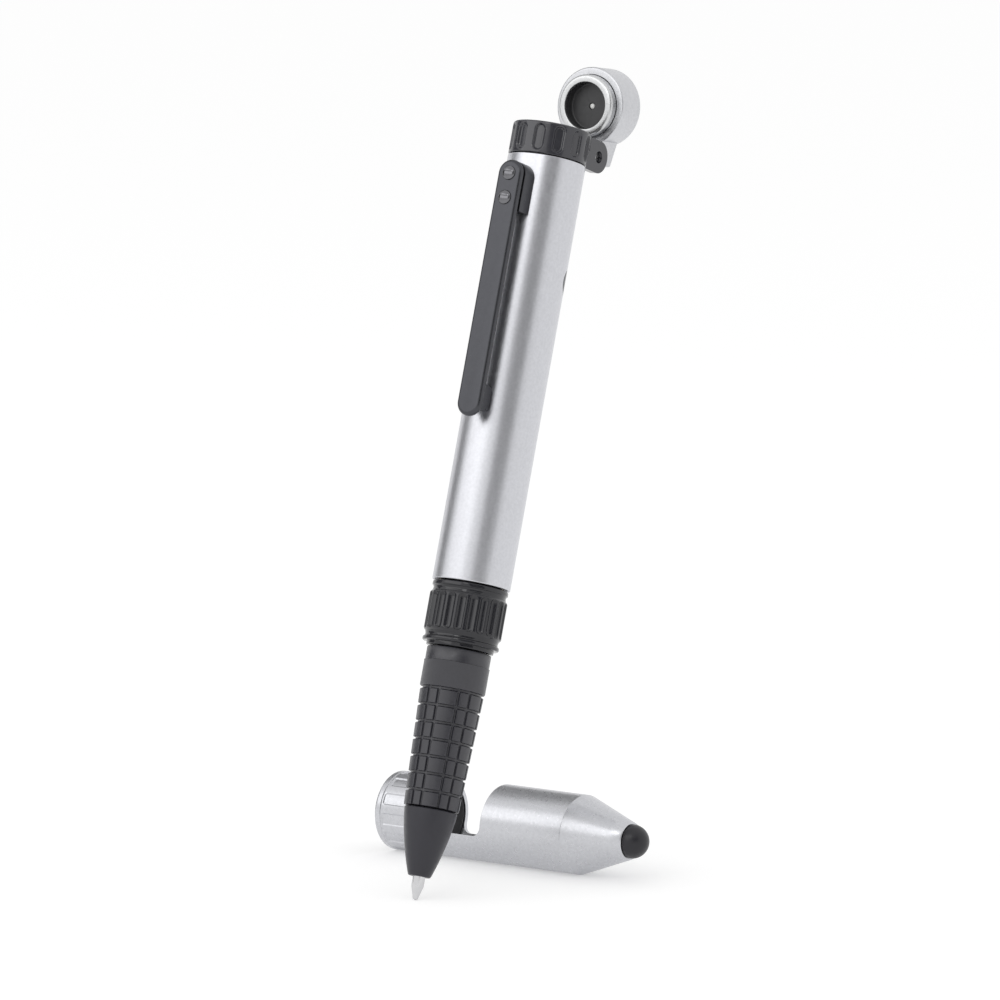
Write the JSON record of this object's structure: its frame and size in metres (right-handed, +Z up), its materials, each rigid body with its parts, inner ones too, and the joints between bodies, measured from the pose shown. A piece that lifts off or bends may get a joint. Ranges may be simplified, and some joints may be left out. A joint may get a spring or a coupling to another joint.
{
  "type": "multifunction pen",
  "caption": "metal ballpoint pen leaning on its tip, with a ribbed grip, pocket clip, flip-up lamp, and a taken-off cap that has a phone slot and a stylus end",
  "frame": {"origin": "on the pen's axis in the middle of the ribbed finger grip", "axes": "+Z up, +X along the lying cap from its mouth to its stylus, +Y away from the clip's side; the pen leans back towards +Y"},
  "size_m": [0.0525, 0.0571, 0.133],
  "materials": {
    "satin_silver": "fine satin",
    "brushed_silver": "brushed round",
    "steel": "bright",
    "brass": "plain",
    "dark_metal": "satin dark grey",
    "gloss_black": "gloss",
    "satin_black": "satin",
    "cone_black": "matte",
    "grip_black": "matte soft",
    "stylus_black": "smooth matte",
    "inner_plastic": "plain",
    "clear_plastic": "translucent white",
    "board_green": "lacquered",
    "lens_white": "clear lens"
  },
  "bodies": {
    "front": {"refill_tip": "steel", "refill_tube": "clear_plastic", "refill_plug": "inner_plastic", "nose_cone": "cone_black", "grip_sleeve": "grip_black", "grip_core": "inner_plastic", "collar": "gloss_black"},
    "ball": {"writing_ball": "steel"},
    "barrel": {"barrel": "satin_silver", "barrel_insert": "brass", "clip_spacer": "dark_metal", "tact_switch": "steel", "switch_board": "board_green", "battery_carrier": "inner_plastic", "battery_cell_1": "steel", "battery_cell_2": "steel", "battery_cell_3": "steel", "battery_spring": "steel"},
    "clip": {"clip": "dark_metal", "clip_screw_upper": "dark_metal", "clip_screw_lower": "dark_metal"},
    "button": {"lamp_button": "satin_black"},
    "ring": {"top_ring": "satin_black", "hinge_pin": "steel", "contact_stud": "brass"},
    "head": {"head_shell": "satin_silver", "head_bezel": "brushed_silver", "lamp_cup": "satin_black", "led": "lens_white", "led_board": "board_green"},
    "cap": {"cap_shell": "brushed_silver", "cap_liner": "satin_black", "stylus_core": "inner_plastic", "stylus_dome": "stylus_black"}
  },
  "joints": [
    {"name": "ball_roll", "type": "hinge", "parent": "front", "child": "ball", "pos_m": [0.00032, -0.00736, -0.02354], "axis": [0.9961, 0.087, -0.0137], "continuous": true},
    {"name": "barrel_off", "type": "slide", "parent": "front", "child": "barrel", "axis": [-0.0129, 0.2985, 0.9543], "range_m": [0, 0.045]},
    {"name": "clip_flex", "type": "hinge", "parent": "barrel", "child": "clip", "pos_m": [-0.00045, 0.0202, 0.09527], "axis": [-0.9961, -0.087, 0.0137], "range_deg": [0, 2.2], "stiffness_Nm_per_rad": 3},
    {"name": "button_press", "type": "slide", "parent": "barrel", "child": "button", "axis": [-0.7771, -0.6036, 0.1783], "range_m": [0, 0.0004], "stiffness_N_per_m": 2000},
    {"name": "ring_off", "type": "slide", "parent": "barrel", "child": "ring", "axis": [-0.0129, 0.2985, 0.9543], "range_m": [0, 0.008]},
    {"name": "head_flip", "type": "hinge", "parent": "ring", "child": "head", "pos_m": [-0.00205, 0.03846, 0.09475], "axis": [0.9961, 0.087, -0.0137], "range_deg": [-10.1, 79.9]},
    {"name": "cap_slide", "type": "slide", "parent": "front", "child": "cap", "axis": [1, 0, 0], "range_m": [0, 0.05]}
  ]
}
